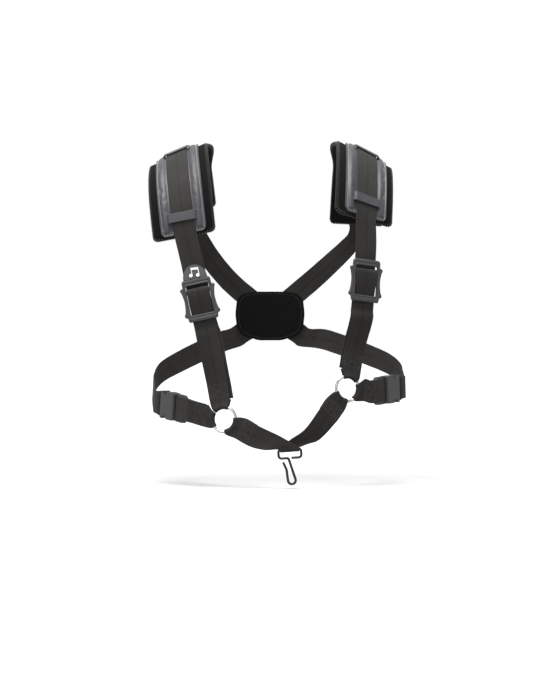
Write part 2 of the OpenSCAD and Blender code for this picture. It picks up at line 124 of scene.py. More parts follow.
def along(grid, step):
    """More rows, about a step apart, through the rows of a grid."""
    grid = np.asarray(grid, float)
    gaps = np.linalg.norm(np.diff(grid, axis=0), axis=2).mean(axis=1)
    slopes = np.diff(grid, axis=0) / gaps[:, None, None]
    w = (gaps[:-1] / (gaps[:-1] + gaps[1:]))[:, None, None]
    tangents = np.concatenate([slopes[:1], slopes[:-1] * (1 - w) + slopes[1:] * w, slopes[-1:]])
    rows = []
    for i, gap in enumerate(gaps):
        n = max(1, math.ceil(gap / step))
        for t in np.arange(n) / n:
            rows.append(
                (1 + 2 * t) * (1 - t) ** 2 * grid[i] + t * (1 - t) ** 2 * gap * tangents[i]
                + t * t * (3 - 2 * t) * grid[i + 1] + t * t * (t - 1) * gap * tangents[i + 1]
            )
    return np.array(rows + [grid[-1]])


def across(grid, at):
    """The grid's rows evaluated at other places across, from -1 to 1."""
    weights = np.array([
        [np.prod([(c - b) / (a - b) for b in COLUMNS if b != a]) for a in COLUMNS] for c in at
    ])
    return np.einsum("ca,raj->rcj", weights, grid)


def grid_normals(g):
    n = np.cross(np.gradient(g, axis=1), np.gradient(g, axis=0))
    return n / np.linalg.norm(n, axis=2)[:, :, None]


def make(name, verts, faces, material, lay=None):
    """A mesh object from points in millimetres; lay keeps each point's place on the flat cloth."""
    mesh = bpy.data.meshes.new(name)
    mesh.from_pydata([tuple(v * MM) for v in np.asarray(verts, float)], [], faces)
    mesh.validate()
    mesh.polygons.foreach_set("use_smooth", [True] * len(mesh.polygons))
    if lay is not None:
        a = mesh.attributes.new("lay", "FLOAT_VECTOR", "POINT")
        a.data.foreach_set("vector", np.asarray(lay, np.float32).ravel())
    mesh.materials.append(material)
    obj = bpy.data.objects.new(name, mesh)
    bpy.context.scene.collection.objects.link(obj)
    return obj


def strip_faces(rows, loop, closed=False):
    """Quads between loops of points, with a cap on each end of an open strip."""
    faces = []
    for r in range(rows if closed else rows - 1):
        for j in range(loop):
            a, b = r * loop, (r + 1) % rows * loop
            faces.append((a + j, a + (j + 1) % loop, b + (j + 1) % loop, b + j))
    if not closed:
        faces += [tuple(range(loop))[::-1], tuple((rows - 1) * loop + j for j in range(loop))]
    return faces


# Share of half the thickness at places across a woven strap: a rounded selvedge, then the web.
SELVEDGE = [(-1, 0), (-0.99, 0.45), (-0.972, 0.8), (-0.945, 1), (-0.9, 1), (-0.865, 0.86)]
WOVEN = SELVEDGE + [(c / 10, 0.9) for c in (-7, -5, -3, -1, 1, 3, 5, 7)]
WOVEN = WOVEN + [(-c, h) for c, h in SELVEDGE[::-1]]
SEWN = [(-1, 0), (-0.98, 0.55), (-0.94, 0.92), (-0.86, 1), (-0.8, 0.9), (-0.5, 0.96), (0, 1)]
SEWN = SEWN + [(-c, h) for c, h in SEWN[-2::-1]]


# Each ribbon's middle surface, lift, normals and places across, kept for its stitching.
SURFACES = {}


def sewn(name, out, start, end, inset, cross):
    """Lines of a sewn box, and its cross, on a strap's outer face between the rows nearest two points."""
    grid, lift, normals, places = SURFACES[name]
    middle = grid[:, len(places) // 2]
    rows = [int(np.argmin(np.linalg.norm(middle - p, axis=1))) for p in (start, end)]
    face = 1 if normals[rows[0], len(places) // 2] @ out > 0 else -1
    edge = 1 - inset / (WEB_W / 2)
    lines = [((rows[0], -edge), (rows[0], edge)), ((rows[1], -edge), (rows[1], edge)),
             ((rows[0], -edge), (rows[1], -edge)), ((rows[0], edge), (rows[1], edge))]
    if cross:
        lines += [((rows[0], -edge), (rows[1], edge)), ((rows[0], edge), (rows[1], -edge))]
    out = []
    for (r0, c0), (r1, c1) in lines:
        points, ways = [], []
        for t in np.linspace(0, 1, 24):
            r, c = r0 + (r1 - r0) * t, c0 + (c1 - c0) * t
            i = min(int(r), len(grid) - 2)
            f = r - i
            row = (grid[i] + face * lift[i]) * (1 - f) + (grid[i + 1] + face * lift[i + 1]) * f
            points.append([np.interp(c, places, row[:, j]) for j in range(3)])
            ways.append(face * unit(normals[i, len(places) // 2]))
        out.append((points, ways))
    return out


def ribbon(name, grid, thick, material, profile=WOVEN, step=1.5, wander=0.1):
    """A closed strap whose middle surface is the grid."""
    grid = across(along(grid, step), [c for c, h in profile])
    normals = grid_normals(grid)
    length = np.concatenate([[0], np.cumsum(np.linalg.norm(np.diff(grid.mean(axis=1), axis=0), axis=1))])
    half = np.linalg.norm(grid[:, -1] - grid[:, 0], axis=1)[:, None] / 2
    places = np.array([c for c, h in profile])
    drift = wander * (np.sin(length / 7.3) * 0.6 + np.sin(length / 3.1 + 1) * 0.4)
    side = grid[:, -1] - grid[:, 0]
    side = side / np.linalg.norm(side, axis=1)[:, None]
    grid = grid + (drift[:, None] * places[None, :] ** 2)[:, :, None] * side[:, None, :]
    lift = np.array([h for c, h in profile])[None, :, None] * thick / 2 * normals
    n = len(profile)
    loops = np.concatenate([grid + lift, (grid - lift)[:, n - 2:0:-1]], axis=1)
    u = half * places[None, :]
    u = np.concatenate([u, u[:, n - 2:0:-1]], axis=1)
    v = np.repeat(length[:, None], u.shape[1], axis=1)
    lay = np.stack([u, v, np.zeros_like(u)], axis=2).reshape(-1, 3)
    rows, loop = loops.shape[:2]
    SURFACES[name] = (grid, lift, normals, places)
    return make(name, loops.reshape(-1, 3), strip_faces(rows, loop), material, lay)


def tube(name, path, radius, sides, material, closed=False, radii=None):
    """A round wire along a path."""
    path = np.asarray(path, float)
    if closed:
        way = np.roll(path, -1, axis=0) - np.roll(path, 1, axis=0)
    else:
        way = np.gradient(path, axis=0)
    way /= np.linalg.norm(way, axis=1)[:, None]
    u = square_to(vec(0.31, 0.82, 0.47), way[0])
    rings = []
    for i, p in enumerate(path):
        u = square_to(u, way[i])
        w = np.cross(way[i], u)
        r = radius * (1 if radii is None else radii[i])
        rings += [p + r * (math.cos(a) * u + math.sin(a) * w) for a in np.arange(sides) * 2 * math.pi / sides]
    return make(name, rings, strip_faces(len(path), sides, closed), material)


def stitches(name, lines, material, length=2.4, gap=0.9, radius=0.26, rise=0.12):
    """Thread along lines, each a list of points with the surface's normals."""
    verts, faces = [], []
    for points, normals in lines:
        points, normals = np.asarray(points, float), np.asarray(normals, float)
        run = np.concatenate([[0], np.cumsum(np.linalg.norm(np.diff(points, axis=0), axis=1))])
        count = max(1, int(run[-1] // (length + gap)))
        pitch = run[-1] / count
        for i in range(count):
            start = len(verts)
            at = i * pitch + gap / 2 + (pitch - gap) * np.linspace(0, 1, 5)
            p = np.stack([np.interp(at, run, points[:, j]) for j in range(3)], axis=1)
            n = np.stack([np.interp(at, run, normals[:, j]) for j in range(3)], axis=1)
            d = unit(p[-1] - p[0])
            for j, (r, h) in enumerate(((0.4, -0.2), (0.9, 0.05), (1, rise), (0.9, 0.05), (0.4, -0.2))):
                m = unit(n[j])
                s = np.cross(d, m)
                c = p[j] + h * m
                turns = np.arange(6) * math.pi / 3
                verts += [c + radius * r * (math.cos(a) * m + math.sin(a) * s) for a in turns]
            faces += [tuple(start + k for k in f) for f in strip_faces(5, 6)]
    return make(name, verts, faces, material)


# ---------- materials ----------


class Shade:
    """A material and short ways to add nodes to it."""

    def __init__(self, name, color, roughness, **values):
        self.mat = bpy.data.materials.new(name)
        self.mat.use_nodes = True
        self.tree = self.mat.node_tree
        self.bsdf = self.tree.nodes["Principled BSDF"]
        self.bsdf.inputs["Base Color"].default_value = (*color, 1)
        self.bsdf.inputs["Roughness"].default_value = roughness
        for key, value in values.items():
            self.bsdf.inputs[key.replace("_", " ")].default_value = value

    def put(self, socket, value):
        if isinstance(value, bpy.types.NodeSocket):
            self.tree.links.new(value, socket)
        else:
            socket.default_value = value

    def node(self, kind, inputs=(), **settings):
        n = self.tree.nodes.new(kind)
        for key, value in settings.items():
            setattr(n, key, value)
        for key, value in dict(inputs).items():
            self.put(n.inputs[key], value)
        return n

    def math(self, operation, a, b=0.0, c=0.0):
        return self.node("ShaderNodeMath", {0: a, 1: b, 2: c}, operation=operation).outputs[0]

    def place(self):
        return self.node("ShaderNodeTexCoord").outputs["Object"]

    def lay(self):
        a = self.node("ShaderNodeAttribute", attribute_name="lay")
        s = self.node("ShaderNodeSeparateXYZ", {0: a.outputs["Vector"]})
        return s.outputs[0], s.outputs[1]

    def noise(self, scale, detail=3.0, rough=0.5, vector=None):
        return self.node("ShaderNodeTexNoise", {
            "Vector": self.place() if vector is None else vector,
            "Scale": scale, "Detail": detail, "Roughness": rough,
        }).outputs["Fac"]

    def cells(self, scale, feature="F1"):
        inputs = {"Vector": self.place(), "Scale": scale}
        return self.node("ShaderNodeTexVoronoi", inputs, feature=feature).outputs["Distance"]

    def wave(self, value, period):
        turn = self.math("MULTIPLY", value, 2 * math.pi / period)
        return self.math("MULTIPLY_ADD", self.math("SINE", turn), 0.5, 0.5)

    def between(self, fac, low, high):
        inputs = {"Value": fac, "To Min": low, "To Max": high}
        return self.node("ShaderNodeMapRange", inputs).outputs["Result"]

    def tint(self, fac, low, high):
        ramp = self.node("ShaderNodeValToRGB", {"Fac": fac})
        ramp.color_ramp.elements[0].color = (*low, 1)
        ramp.color_ramp.elements[1].color = (*high, 1)
        return ramp.outputs["Color"]

    def wear(self, *pairs):
        """Links bump layers, each a height, a strength and a distance in millimetres."""
        normal = None
        for height, strength, distance in pairs:
            inputs = {"Height": height, "Strength": strength, "Distance": distance * MM}
            if normal is not None:
                inputs["Normal"] = normal
            normal = self.node("ShaderNodeBump", inputs).outputs["Normal"]
        self.tree.links.new(normal, self.bsdf.inputs["Normal"])

    def color(self, socket):
        self.tree.links.new(socket, self.bsdf.inputs["Base Color"])

    def rough(self, socket):
        self.tree.links.new(socket, self.bsdf.inputs["Roughness"])


def woven(name, low, high, sheen):
    """Herringbone webbing: slanted ribs that meet down the middle, and yarns along the strap."""
    s = Shade(name, high, 0.8, Sheen_Weight=sheen, Sheen_Roughness=0.5, Specular_IOR_Level=0.08)
    u, v = s.lay()
    flank = s.math("PINGPONG", s.math("ABSOLUTE", u), 4.2)
    rib = s.wave(s.math("ADD", v, flank), 1.7)
    yarn = s.wave(u, 0.84)
    height = s.math("MULTIPLY", rib, s.math("MULTIPLY_ADD", yarn, 0.5, 0.5))
    spine = s.math("MULTIPLY_ADD", s.math("ABSOLUTE", u), -0.45, 1)
    spine = s.math("MULTIPLY", s.math("MAXIMUM", spine, 0), s.wave(v, 4.6))
    cloud = s.noise(55, 4, 0.6)
    fuzz = s.noise(2600, 2)
    mix = s.math("ADD", s.math("MULTIPLY", height, 0.7), s.math("MULTIPLY", cloud, 0.4))
    mix = s.math("ADD", mix, s.math("MULTIPLY", fuzz, 0.2))
    mix = s.math("SUBTRACT", mix, s.math("MULTIPLY", spine, 0.3))
    s.color(s.tint(mix, low, high))
    s.rough(s.between(height, 0.82, 0.64))
    s.wear((height, 0.55, 0.22), (fuzz, 0.25, 0.1))
    return s.mat


def leatherette():
    """Satin synthetic leather with a fine pebble and soft creases."""
    s = Shade("cover_satin", (0.06, 0.06, 0.068), 0.5, Sheen_Weight=0.04, Sheen_Roughness=0.4,
              Specular_IOR_Level=0.3)
    pebble = s.cells(1500)
    crease = s.cells(260, "DISTANCE_TO_EDGE")
    cloud = s.noise(38, 4, 0.6)
    s.color(s.tint(s.math("MULTIPLY_ADD", pebble, 0.25, s.math("MULTIPLY", cloud, 0.8)),
                   (0.012, 0.012, 0.0145), (0.032, 0.032, 0.037)))
    s.rough(s.between(cloud, 0.46, 0.6))
    s.wear((crease, 0.12, 0.25), (pebble, 0.3, 0.12))
    return s.mat


def felt():
    """Matted wool: fibres that lie every way, with small tufts."""
    s = Shade("felt_wool", (0.012, 0.012, 0.012), 0.95, Sheen_Weight=0.01, Sheen_Roughness=0.6,
              Specular_IOR_Level=0.03)
    fibre = s.noise(1900, 6, 0.75)
    tuft = s.noise(320, 4, 0.65)
    s.color(s.tint(s.math("MULTIPLY_ADD", fibre, 0.5, s.math("MULTIPLY", tuft, 0.5)),
                   (0.0012, 0.0012, 0.0012), (0.0065, 0.0062, 0.006)))
    s.rough(s.between(tuft, 1, 0.86))
    s.wear((tuft, 0.6, 0.6), (fibre, 0.8, 0.35))
    return s.mat


def moulded(name, low, high, roughness):
    """Moulded plastic with a fine spark-eroded grain and faint rubbing."""
    s = Shade(name, high, roughness, Specular_IOR_Level=0.3)
    grain = s.noise(2300, 3, 0.6)
    rub = s.noise(75, 5, 0.65)
    s.color(s.tint(s.math("MULTIPLY_ADD", grain, 0.3, s.math("MULTIPLY", rub, 0.7)), low, high))
    s.rough(s.between(rub, roughness - 0.08, roughness + 0.12))
    s.wear((grain, 0.28, 0.12))
    return s.mat


def plated(name, color, roughness):
    """Plated metal with faint scratches and a soft waviness."""
    s = Shade(name, color, roughness, Metallic=1)
    stretch = s.node("ShaderNodeMapping", {"Vector": s.place(), "Scale": (1, 1, 9)}).outputs[0]
    scratch = s.noise(420, 6, 0.7, stretch)
    cloud = s.noise(60, 3)
    s.color(s.tint(cloud, tuple(0.86 * c for c in color), color))
    s.rough(s.between(scratch, roughness * 0.7, roughness * 1.6))
    s.wear((scratch, 0.05, 0.08))
    return s.mat


def painted():
    """Gloss black coating over wire, slightly uneven."""
    s = Shade("wire_black", (0.006, 0.006, 0.0065), 0.3, Specular_IOR_Level=0.2, Coat_Weight=0.2,
              Coat_Roughness=0.1)
    peel = s.noise(420, 2, 0.4)
    cloud = s.noise(90, 4)
    s.color(s.tint(cloud, (0.003, 0.003, 0.0035), (0.01, 0.01, 0.0105)))
    s.rough(s.between(cloud, 0.2, 0.34))
    s.wear((peel, 0.12, 0.15))
    return s.mat


def spun(name, low, high):
    """Sewing thread: two plies, dull and slightly hairy."""
    s = Shade(name, high, 0.7, Sheen_Weight=0.2, Specular_IOR_Level=0.3)
    ply = s.noise(1600, 2)
    s.color(s.tint(ply, low, high))
    s.rough(s.between(ply, 0.62, 0.8))
    s.wear((ply, 0.5, 0.1))
    return s.mat


WEBBING = woven("webbing_weave", (0.0025, 0.0024, 0.0023), (0.026, 0.0244, 0.023), 0.015)
COVER = leatherette()
FELT = felt()
PLASTIC = moulded("plastic_dark", (0.013, 0.013, 0.0145), (0.029, 0.029, 0.031), 0.52)
BADGE = moulded("plastic_badge", (0.028, 0.028, 0.03), (0.05, 0.05, 0.052), 0.52)
SILVER = plated("emblem_silver", (0.86, 0.86, 0.85), 0.24)
NICKEL = plated("ring_nickel", (0.4, 0.39, 0.37), 0.2)
BLACK_WIRE = painted()
PALE_THREAD = spun("thread_pale", (0.2, 0.2, 0.21), (0.42, 0.42, 0.43))
DARK_THREAD = spun("thread_dark", (0.004, 0.004, 0.004), (0.016, 0.016, 0.016))
STRAP_THREAD = spun("thread_strap", (0.008, 0.0078, 0.0075), (0.03, 0.029, 0.028))


def finish_piece(obj, body, *nodes, slot=None):
    """Puts a piece on its body in place of CAD nodes."""
    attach(obj, body)
    if nodes:
        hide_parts(*nodes)
    return obj


# ---------- shoulders ----------

# side, arc centre x, lean, roll at the top, roll at the ends, pad's front end, slant
RIGHT = (-1, 94, 7, 16, 0, 88, -1.3)
LEFT = (1, 105, 3, 24, 24, 77, 1.8)


def arc_axis(k):
    return vec(cosd(k[2]), 0, -k[0] * sind(k[2]))


def arc_radial(k, a):
    return vec(k[0] * sind(k[2]) * cosd(a), -sind(a), cosd(k[2]) * cosd(a))


def roll(k, a):
    return k[4] + (k[3] - k[4]) * cosd(a) ** 2


def arc_across(k, a):
    return arc_axis(k) * cosd(roll(k, a)) - k[0] * arc_radial(k, a) * sind(roll(k, a))


def arc_out(k, a):
    return arc_radial(k, a) * cosd(roll(k, a)) + k[0] * arc_axis(k) * sind(roll(k, a))


def on_shoulder(k, a, v, h):
    centre = vec(k[0] * k[1], 0, APEX_Z - ARC_R * cosd(k[2]))
    return centre + ARC_R * arc_radial(k, a) + v * arc_across(k, a) + h * arc_out(k, a)


def on_pad(k, a, v, h):
    return on_shoulder(k, a + k[6] * v / (BASE_W / 2), v, h)


def ramp(x, low, high):
    t = min(max((x - low) / (high - low), 0), 1)
    return t * t * (3 - 2 * t)


def inflate(obj, pinned, pressure, growth, cap):
    """Cloth pass: air and a little spare cloth swell the free points, the seams stay where they are."""
    scene = bpy.context.scene
    rest = np.array([v.co for v in obj.data.vertices])
    group = obj.vertex_groups.new(name="seams")
    group.add([int(i) for i in pinned], 1.0, "REPLACE")
    cloth = obj.modifiers.new("cloth", "CLOTH")
    s = cloth.settings
    s.quality = 5
    s.mass = 0.15
    s.tension_stiffness = s.compression_stiffness = 12
    s.shear_stiffness = 6
    s.bending_stiffness = 3
    s.use_pressure = True
    s.uniform_pressure_force = pressure
    s.shrink_min = -growth
    s.vertex_group_mass = "seams"
    s.effector_weights.gravity = 0
    cloth.point_cache.frame_start, cloth.point_cache.frame_end = 1, 20
    for f in range(1, 21):
        scene.frame_set(f)
    shape = obj.evaluated_get(bpy.context.evaluated_depsgraph_get()).data
    moved = np.array([v.co for v in shape.vertices]) - rest
    size = np.linalg.norm(moved, axis=1)
    print("cloth", obj.name, "moved up to", round(float(size.max()) * 1000, 2), "mm")
    scale = np.minimum(1, cap * MM / np.maximum(size, 1e-9))
    held = np.zeros(len(rest), bool)
    held[pinned] = True
    moved[held] = 0
    obj.modifiers.remove(cloth)
    obj.vertex_groups.remove(group)
    obj.data.vertices.foreach_set("co", (rest + moved * scale[:, None]).ravel())
    obj.data.update()
    scene.frame_set(1)


def pad_start(k, inset):
    """The turn, in degrees, where a pad layer's back end is."""
    return k[5] - PAD_ARC + math.degrees(inset / ARC_R)


def pad_shell(name, k, w, corner, inset, ribs, ends, step, heights, sideways, material):
    """A closed padded layer. ribs are places across, ends are places near each end, heights(v, from_edge)
    gives the top and the bottom there, and sideways moves it across. Returns it and each point's place."""
    first = pad_start(k, inset)
    reach = math.radians(PAD_ARC) * ARC_R - 2 * inset
    n = math.ceil((reach - 2 * ends[-1]) / step)
    middle = [ends[-1] + (reach - 2 * ends[-1]) * i / n for i in range(1, n)]
    places = list(ends) + middle + [reach - e for e in ends[::-1]]
    top, bottom, where = [], [], []
    for s in places:
        a = first + math.degrees(s / ARC_R)
        near = min(s, reach - s)
        half = w / 2 if near >= corner else w / 2 - corner + math.sqrt(corner ** 2 - (corner - near) ** 2)
        for v in ribs:
            edge = min(w / 2 - abs(v), near)
            up, down = heights(v, edge)
            at = sideways(k, a, v * half / (w / 2))
            top.append(on_pad(k, a, at, up))
            bottom.append(on_pad(k, a, at, down))
            where.append((v, s, edge))
    rows, cols = len(places), len(ribs)
    size = rows * cols
    rim = [r * cols for r in range(rows)] + [(rows - 1) * cols + c for c in range(1, cols)]
    rim += [r * cols + cols - 1 for r in range(rows - 2, -1, -1)] + [c for c in range(cols - 2, 0, -1)]
    faces = []
    for r in range(rows - 1):
        for c in range(cols - 1):
            a, b = r * cols + c, (r + 1) * cols + c
            faces += [(a, a + 1, b + 1, b), (size + a, size + b, size + b + 1, size + a + 1)]
    for i, a in enumerate(rim):
        b = rim[(i + 1) % len(rim)]
        faces.append((a, b, size + b, size + a))
    lay = [(v, s, 0) for v, s, e in where] * 2
    obj = make(name, top + bottom, faces, material, lay)
    return obj, where


def both_sides(values):
    return sorted({-v for v in values} | set(values))


COVER_RIBS = both_sides((0, 4, 8, 12, 12.9, 13.4, 14.2, 15.2, 16.4, 17.6, 18.8, 20, 21.2, 22.2, 23, 23.5,
                         24, 24.4, 24.8, 25.15, 25.4, 25.5))
COVER_ENDS = (0, 0.1, 0.35, 0.7, 1.1, 1.5, 2, 2.5, 3.6, 5, 7)
COVER_CORNER, COVER_INSET, FELT_CORNER = 6, 3, 6
# Height of the cover's turned edge, and how far the felt's faces draw in, by distance from the edge.
EDGE_ROLL = ((0, -0.75), (0.1, -0.1), (0.35, 0.35), (0.7, 0.5), (1.1, 0.35), (1.5, -0.05), (2, -0.28),
             (2.5, -0.1), (3.5, 0))
FELT_EDGE = ((0, 1.9), (0.4, 0.95), (1, 0.4), (1.8, 0.12), (2.8, 0), (4, 0))


def cover_heights(v, edge):
    up = float(np.interp(edge, *zip(*EDGE_ROLL)))
    side = abs(v)
    up = min(up, 0) + max(up, 0) * ramp(side, 13, 15.2)
    band = ramp(side, 13.6, 17) * (1 - ramp(side, 20, 23.6)) * ramp(edge, 1.8, 6)
    down = 0.55 if edge < 0.2 else 0
    return COVER_TOP + up + 1.5 * band, COVER_TOP - COVER_T + down


BASE_RIBS = both_sides((0, 3, 6, 9, 12, 15, 18, 21, 23.4, 24.2, 25, 26.4, 28, 29.6, 31, 32.2, 33.2, 34,
                        34.6, 35))
BASE_ENDS = (0, 0.4, 1, 1.8, 2.8, 4, 5.5, 7.5, 10)


def base_heights(v, edge):
    tuck = float(np.interp(edge, *zip(*FELT_EDGE)))
    seam = 0.7 * (1 - ramp(abs(abs(v) - 24.2), 0, 1.6))
    return BASE_TOP - tuck, BASE_TOP - BASE_T + tuck + seam * (1 - ramp(tuck, 0, 0.4))


def straight(k, a, v):
    return v


def outline(w, corner, inset, off, gap):
    """Places (along from the back end, across) and outward ways round a pad layer, off inside its edge."""
    reach = math.radians(PAD_ARC) * ARC_R - 2 * inset
    r = max(corner - off, 0.4)
    corners = [(reach - corner, w / 2 - corner, 0), (corner, w / 2 - corner, 90),
               (corner, corner - w / 2, 180), (reach - corner, corner - w / 2, 270)]
    points, ways = [], []
    for cs, cv, turn in corners:
        for a in range(turn, turn + 91, 10):
            points.append(vec(cs, cv) + r * vec(cosd(a), sind(a)))
            ways.append(vec(cosd(a), sind(a)))
    points.append(points[0])
    ways.append(ways[0])
    run = np.concatenate([[0], np.cumsum(np.linalg.norm(np.diff(points, axis=0), axis=1))])
    at = np.linspace(0, run[-1], max(4, round(run[-1] / gap)), endpoint=False)
    out = []
    for d in at:
        s, v = (float(np.interp(d, run, [p[j] for p in points])) for j in (0, 1))
        way = unit(vec(*(np.interp(d, run, [q[j] for q in ways]) for j in (0, 1))))
        out.append((s, v, way))
    return out


def whipped(name, k, body):
    """Edge stitches wrapped round the felt from face to face."""
    section = ((2.5, 0.05), (1.6, -0.05), (0.75, -0.4), (0, -1.2), (-0.3, -2.1), (-0.3, -2.9), (0, -3.8),
               (0.75, -4.6), (1.6, -4.95), (2.5, -5.05))
    verts, faces = [], []
    for s, v, way in outline(BASE_W, FELT_CORNER, 0, 0, 3):
        path = []
        for off, h in section:
            q = vec(s, v) - off * way
            a = pad_start(k, 0) + math.degrees(q[0] / ARC_R)
            path.append(on_pad(k, a, neckward(k, a, q[1]), BASE_TOP + h))
        path = np.array(path)
        ways = np.gradient(path, axis=0)
        u = unit(np.cross(ways[0], path[0] - path[-1]))
        start = len(verts)
        for i, p in enumerate(path):
            d = unit(ways[i])
            u = square_to(u, d)
            w = np.cross(d, u)
            r = 0.5 if 0 < i < len(path) - 1 else 0.16
            verts += [p + r * (math.cos(a) * u + math.sin(a) * w) for a in np.arange(6) * math.pi / 3]
        faces += [tuple(start + j for j in f) for f in strip_faces(len(path), 6)]
    finish_piece(make(name, verts, faces, DARK_THREAD), body)


def neckward(k, a, v):
    """The felt's edge by the neck lifts outwards where the pad goes over the shoulder."""
    side = -k[0] * v
    if side <= 0:
        return v
    return v - k[0] * 6 * ramp(a, -34, -12) * (1 - ramp(a, -10, 4)) * ramp(side, 26, 35)


def subdivided(obj):
    m = obj.modifiers.new("subdivision", "SUBSURF")
    m.levels = m.render_levels = 1
    return obj


KEEPER_PROFILE = ((17.4, -1.5), (16.6, -0.75), (15.8, 0.4), (14.9, 1.5), (13.8, 1.95), (9, 2.08), (3, 2.1))
KEEPER_LINE = [(-v, h) for v, h in KEEPER_PROFILE] + list(KEEPER_PROFILE[::-1])


def keeper(name, k, start, end, body, node):
    grid = [[on_pad(k, start + (end - start) * (c + 1) / 2, v, h) for c in COLUMNS] for v, h in KEEPER_LINE]
    finish_piece(ribbon(name, grid, 1.1, COVER, SEWN, 1.2, 0), body, node, slot="cover")
    lines = []
    inset = math.degrees(1.15 / ARC_R)
    for a in (start + inset, end - inset):
        path = [(v, h) for v, h in KEEPER_LINE if abs(v) < 15.5]
        lines.append(([on_pad(k, a, v, h + 0.55) for v, h in path], [arc_out(k, a)] * len(path)))
    finish_piece(stitches(name + "_stitching", lines, DARK_THREAD, 2, 0.8, 0.2, 0.08), body)


def pad(k, side):
    body = side + "_pad"
    cover, where = pad_shell(side + "_pad_cover_padded", k, COVER_W, COVER_CORNER, COVER_INSET, COVER_RIBS,
                             COVER_ENDS, 2.4, cover_heights, straight, COVER)
    free = [i for i, (v, s, e) in enumerate(where) if 14.5 < abs(v) < 23.2 and e > 2.6]
    pinned = sorted(set(range(2 * len(where))) - set(free))
    inflate(cover, pinned, 5, 0.004, 0.8)
    subdivided(finish_piece(cover, body, side + "_pad_cover", slot="cover"))

    base, where = pad_shell(side + "_pad_base_felt", k, BASE_W, FELT_CORNER, 0, BASE_RIBS, BASE_ENDS, 3,
                            base_heights, neckward, FELT)
    free = [i for i, (v, s, e) in enumerate(where) if abs(v) > 27 and e > 1.5]
    free += [len(where) + i for i, (v, s, e) in enumerate(where) if e > 1.5 and not 23 < abs(v) < 25.4]
    pinned = sorted(set(range(2 * len(where))) - set(free))
    inflate(base, pinned, 4, 0.004, 0.9)
    subdivided(finish_piece(base, body, side + "_pad_base", slot="felt"))

    back = k[5] - PAD_ARC
    keeper(side + "_pad_keeper_front", k, k[5] - 14.5, k[5] - 9, body, side + "_pad_front_keeper")
    keeper(side + "_pad_keeper_top", k, -5, 16, body, side + "_pad_top_keeper")
    keeper(side + "_pad_keeper_back", k, back + 9, back + 14.5, body, side + "_pad_back_keeper")

    lines = []
    for off, h in ((2, -0.1), (3.6, 0.1)):
        points, ways = [], []
        for at, v, way in outline(COVER_W, COVER_CORNER, COVER_INSET, off, 1.5):
            a = pad_start(k, COVER_INSET) + math.degrees(at / ARC_R)
            points.append(on_pad(k, a, v, COVER_TOP + h))
            ways.append(arc_out(k, a))
        lines.append((points + points[:1], ways + ways[:1]))
    finish_piece(stitches(side + "_pad_cover_stitching", lines, PALE_THREAD, 2, 1, 0.24), body)
    whipped(side + "_pad_edge_stitching", k, body)


pad(RIGHT, "right")
pad(LEFT, "left")

# ---------- where the straps run ----------


def run_frame(run, cross_dir):
    y = unit(run[0] - run[1])
    x = square_to(cross_dir, y)
    return x, y, np.cross(x, y), (run[0] + run[1]) / 2


RIGHT_RUN = (vec(-86.5, -110.5, -118), vec(-67.5, -120, -207))
LEFT_RUN = (vec(106, -110.5, -100), vec(100.5, -122, -184))
RIGHT_ADJ = run_frame(RIGHT_RUN, vec(1, -0.02, 0.2))
LEFT_ADJ = run_frame(LEFT_RUN, vec(0.93, 0.36, -0.1))

LOOP_R = RING_WIRE + 0.3 + WEB_T / 2
PAIR = WEB_T / 2 + 0.2
LOOP_TURN = (50, 90, 135, 180, 225, 270, 310)


def ring_frame(at, yaw):
    return vec(cosd(yaw), sind(yaw), 0), vec(0, 0, 1), vec(sind(yaw), -cosd(yaw), 0), at


RIGHT_RING = ring_frame(vec(-50.6, -121.5, -293.6), -20)
LEFT_RING = ring_frame(vec(85, -120, -260), 26)


def on_ring(f, angle):
    return f[0] * cosd(angle) + f[1] * sind(angle)


def leaving(f, angle, out, h, flip):
    return [f[3] + out * on_ring(f, angle) + h * f[2], flip * on_ring(f, angle - 90)]


def ring_turn(f, middle, half, flip):
    grid = []
    for turn in LOOP_TURN:
        edge = [on_ring(f, middle - flip * c * half) for c in COLUMNS]
        grid.append([f[3] + RING_R * e + LOOP_R * (e * cosd(turn) + f[2] * sind(turn)) for e in edge])
    return grid


PATCH = vec(0, 116.5, -176)


def from_patch(way, cross_dir):
    return [[PATCH + out * way, cross_dir] for out in (18, 40, 50)]


RIGHT_BACK = [[vec(-55, 114.5, -128), vec(0.70, 0, 0.71)], [vec(-78, 110, -98), vec(0.87, 0.05, 0.48)]]
LEFT_BACK = [[vec(57, 114.5, -128), vec(0.71, -0.05, -0.69)], [vec(86, 110.5, -101), vec(0.87, -0.25, -0.42)]]


def shifted(station, shift):
    return [station[0] + shift * station[1], station[1]]


def hanging(adj, ring, up, out, h, last, shift):
    return smooth([
        [in_frame(adj, (0.7 * shift, -34, out)), adj[0]], [in_frame(adj, (shift, -44, out)), adj[0]],
        shifted(leaving(ring, up, 44, h, 1), shift), shifted(leaving(ring, up, last, h, 1), shift),
    ], 4)


def shoulder_webbing(name, k, back, arc_from, arc_to, adj, run, ring, up, shift, node):
    side = k[0]
    arcs = [arc_from + (arc_to - arc_from) * i / 26 for i in range(27)]
    stations = (
        from_patch(vec(side * 0.77, 0, 0.64), vec(0.64, 0, -side * 0.77)) + back
        + [[on_shoulder(k, a, 0, 0), arc_across(k, a)] for a in arcs]
        + [[p, adj[0]] for p in (run[0], (run[0] + run[1]) / 2, in_frame(adj, (0.5 * shift, -28, 0)))]
    )
    grid = rows_of(smooth(stations, 2) + hanging(adj, ring, up, 0, -PAIR, 21, shift))
    finish_piece(ribbon(name, grid, WEB_T, WEBBING), "harness", node, slot="webbing")


